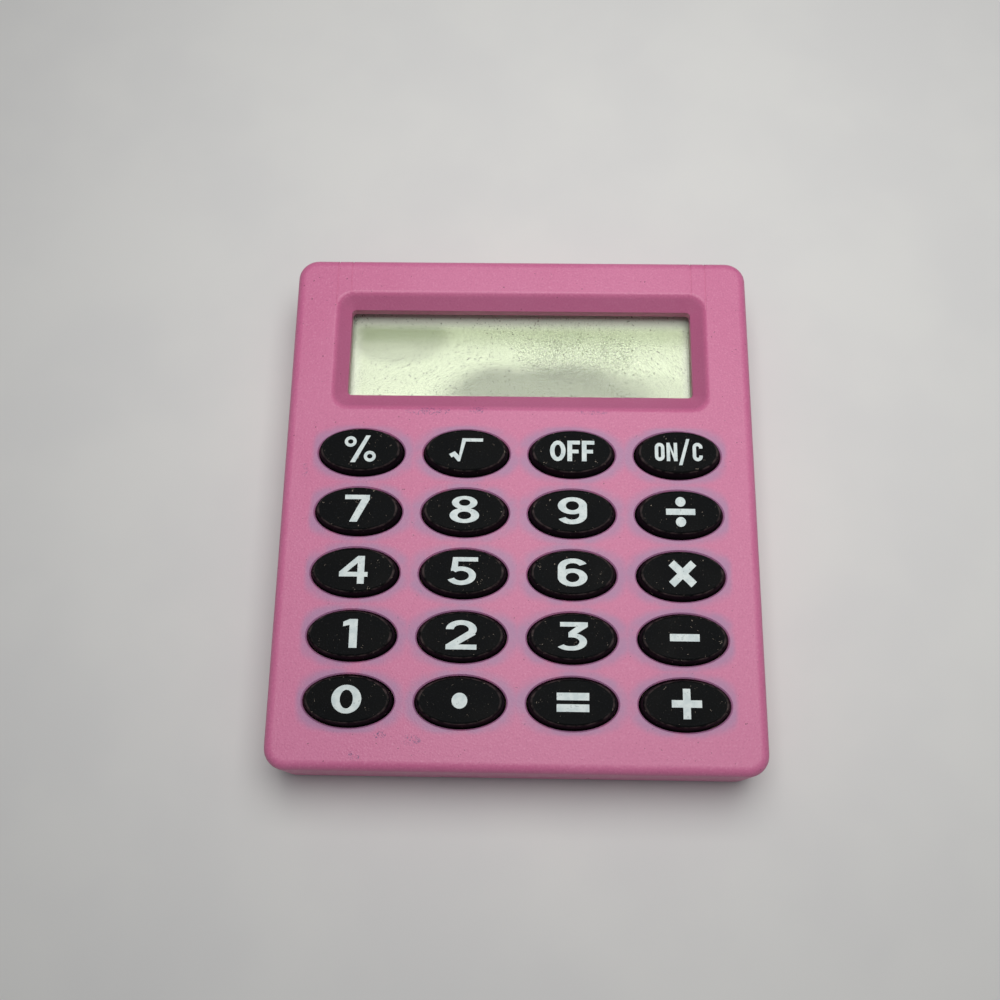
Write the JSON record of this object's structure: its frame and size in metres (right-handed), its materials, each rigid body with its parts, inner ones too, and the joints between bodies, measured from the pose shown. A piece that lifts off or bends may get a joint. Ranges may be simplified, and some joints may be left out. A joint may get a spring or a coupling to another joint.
{
  "type": "desk calculator",
  "caption": "Palm-size calculator: flat rounded case with a sunk display window, oval rubber keys that press, and a battery door that slides off the back.",
  "frame": {"origin": "middle of the footprint, on the surface the feet rest on", "axes": "+Z out of the key face, +Y from the keys towards the display, +X to the right of someone facing the keys"},
  "size_m": [0.0516, 0.0578, 0.0106],
  "materials": {
    "front_case_plastic": "fine moulded texture, pink",
    "rear_case_plastic": "fine moulded texture, pink",
    "battery_door_plastic": "fine moulded texture, pink",
    "window_acrylic": "clear acrylic",
    "polariser_film": "pale green polarising film",
    "display_glass": "clear",
    "reflector_film": "silvery green film",
    "connector_film": "amber film",
    "foam": "dark closed-cell foam",
    "keypad_silicone": "matte silicone",
    "key_rubber": "matte silicone",
    "legend_ink": "printed ink",
    "carbon_pill": "matte carbon-filled silicone",
    "board_laminate": "tan laminate",
    "carbon_print": "matte printed carbon",
    "chip_resin": "glossy black resin",
    "chip_ceramic": "small ceramic parts",
    "cell_steel": "nickel plated",
    "cell_cap_steel": "nickel plated",
    "contact_steel": "tin plated spring steel",
    "screw_steel": "zinc plated"
  },
  "bodies": {
    "case": {"front_case": "front_case_plastic", "rear_case": "rear_case_plastic", "display_window": "window_acrylic", "lcd_front_polariser": "polariser_film", "lcd_upper_glass": "display_glass", "lcd_lower_glass": "display_glass", "lcd_reflector": "reflector_film", "lcd_flex": "connector_film", "lcd_foam_pad": "foam", "keypad_mat": "keypad_silicone", "circuit_board": "board_laminate", "contact_pads": "carbon_print", "chip_resin": "chip_resin", "small_parts": "chip_ceramic", "cell_can": "cell_steel", "cell_cap": "cell_cap_steel", "contact_positive": "contact_steel", "contact_negative": "contact_steel", "case_screws": "screw_steel"},
    "battery_door": {"battery_door": "battery_door_plastic"},
    "key_percent": {"key_percent": "key_rubber", "pill_percent": "carbon_pill"},
    "key_root": {"key_root": "key_rubber", "pill_root": "carbon_pill"},
    "key_off": {"key_off": "key_rubber", "pill_off": "carbon_pill"},
    "key_on_clear": {"key_on_clear": "key_rubber", "pill_on_clear": "carbon_pill"},
    "key_7": {"key_7": "key_rubber", "pill_7": "carbon_pill"},
    "key_8": {"key_8": "key_rubber", "pill_8": "carbon_pill"},
    "key_9": {"key_9": "key_rubber", "pill_9": "carbon_pill"},
    "key_divide": {"key_divide": "key_rubber", "pill_divide": "carbon_pill"},
    "key_4": {"key_4": "key_rubber", "pill_4": "carbon_pill"},
    "key_5": {"key_5": "key_rubber", "pill_5": "carbon_pill"},
    "key_6": {"key_6": "key_rubber", "pill_6": "carbon_pill"},
    "key_times": {"key_times": "key_rubber", "pill_times": "carbon_pill"},
    "key_1": {"key_1": "key_rubber", "pill_1": "carbon_pill"},
    "key_2": {"key_2": "key_rubber", "pill_2": "carbon_pill"},
    "key_3": {"key_3": "key_rubber", "pill_3": "carbon_pill"},
    "key_minus": {"key_minus": "key_rubber", "pill_minus": "carbon_pill"},
    "key_0": {"key_0": "key_rubber", "pill_0": "carbon_pill"},
    "key_point": {"key_point": "key_rubber", "pill_point": "carbon_pill"},
    "key_equals": {"key_equals": "key_rubber", "pill_equals": "carbon_pill"},
    "key_plus": {"key_plus": "key_rubber", "pill_plus": "carbon_pill"}
  },
  "joints": [
    {"name": "battery_door_slide", "type": "slide", "parent": "case", "child": "battery_door", "axis": [0, -1, 0], "range_m": [0, 0.0215]},
    {"name": "key_percent_press", "type": "slide", "parent": "case", "child": "key_percent", "axis": [0, 0, -1], "range_m": [0, 0.0009], "stiffness_N_per_m": 700},
    {"name": "key_root_press", "type": "slide", "parent": "case", "child": "key_root", "axis": [0, 0, -1], "range_m": [0, 0.0009], "stiffness_N_per_m": 700},
    {"name": "key_off_press", "type": "slide", "parent": "case", "child": "key_off", "axis": [0, 0, -1], "range_m": [0, 0.0009], "stiffness_N_per_m": 700},
    {"name": "key_on_clear_press", "type": "slide", "parent": "case", "child": "key_on_clear", "axis": [0, 0, -1], "range_m": [0, 0.0009], "stiffness_N_per_m": 700},
    {"name": "key_7_press", "type": "slide", "parent": "case", "child": "key_7", "axis": [0, 0, -1], "range_m": [0, 0.0009], "stiffness_N_per_m": 700},
    {"name": "key_8_press", "type": "slide", "parent": "case", "child": "key_8", "axis": [0, 0, -1], "range_m": [0, 0.0009], "stiffness_N_per_m": 700},
    {"name": "key_9_press", "type": "slide", "parent": "case", "child": "key_9", "axis": [0, 0, -1], "range_m": [0, 0.0009], "stiffness_N_per_m": 700},
    {"name": "key_divide_press", "type": "slide", "parent": "case", "child": "key_divide", "axis": [0, 0, -1], "range_m": [0, 0.0009], "stiffness_N_per_m": 700},
    {"name": "key_4_press", "type": "slide", "parent": "case", "child": "key_4", "axis": [0, 0, -1], "range_m": [0, 0.0009], "stiffness_N_per_m": 700},
    {"name": "key_5_press", "type": "slide", "parent": "case", "child": "key_5", "axis": [0, 0, -1], "range_m": [0, 0.0009], "stiffness_N_per_m": 700},
    {"name": "key_6_press", "type": "slide", "parent": "case", "child": "key_6", "axis": [0, 0, -1], "range_m": [0, 0.0009], "stiffness_N_per_m": 700},
    {"name": "key_times_press", "type": "slide", "parent": "case", "child": "key_times", "axis": [0, 0, -1], "range_m": [0, 0.0009], "stiffness_N_per_m": 700},
    {"name": "key_1_press", "type": "slide", "parent": "case", "child": "key_1", "axis": [0, 0, -1], "range_m": [0, 0.0009], "stiffness_N_per_m": 700},
    {"name": "key_2_press", "type": "slide", "parent": "case", "child": "key_2", "axis": [0, 0, -1], "range_m": [0, 0.0009], "stiffness_N_per_m": 700},
    {"name": "key_3_press", "type": "slide", "parent": "case", "child": "key_3", "axis": [0, 0, -1], "range_m": [0, 0.0009], "stiffness_N_per_m": 700},
    {"name": "key_minus_press", "type": "slide", "parent": "case", "child": "key_minus", "axis": [0, 0, -1], "range_m": [0, 0.0009], "stiffness_N_per_m": 700},
    {"name": "key_0_press", "type": "slide", "parent": "case", "child": "key_0", "axis": [0, 0, -1], "range_m": [0, 0.0009], "stiffness_N_per_m": 700},
    {"name": "key_point_press", "type": "slide", "parent": "case", "child": "key_point", "axis": [0, 0, -1], "range_m": [0, 0.0009], "stiffness_N_per_m": 700},
    {"name": "key_equals_press", "type": "slide", "parent": "case", "child": "key_equals", "axis": [0, 0, -1], "range_m": [0, 0.0009], "stiffness_N_per_m": 700},
    {"name": "key_plus_press", "type": "slide", "parent": "case", "child": "key_plus", "axis": [0, 0, -1], "range_m": [0, 0.0009], "stiffness_N_per_m": 700}
  ]
}
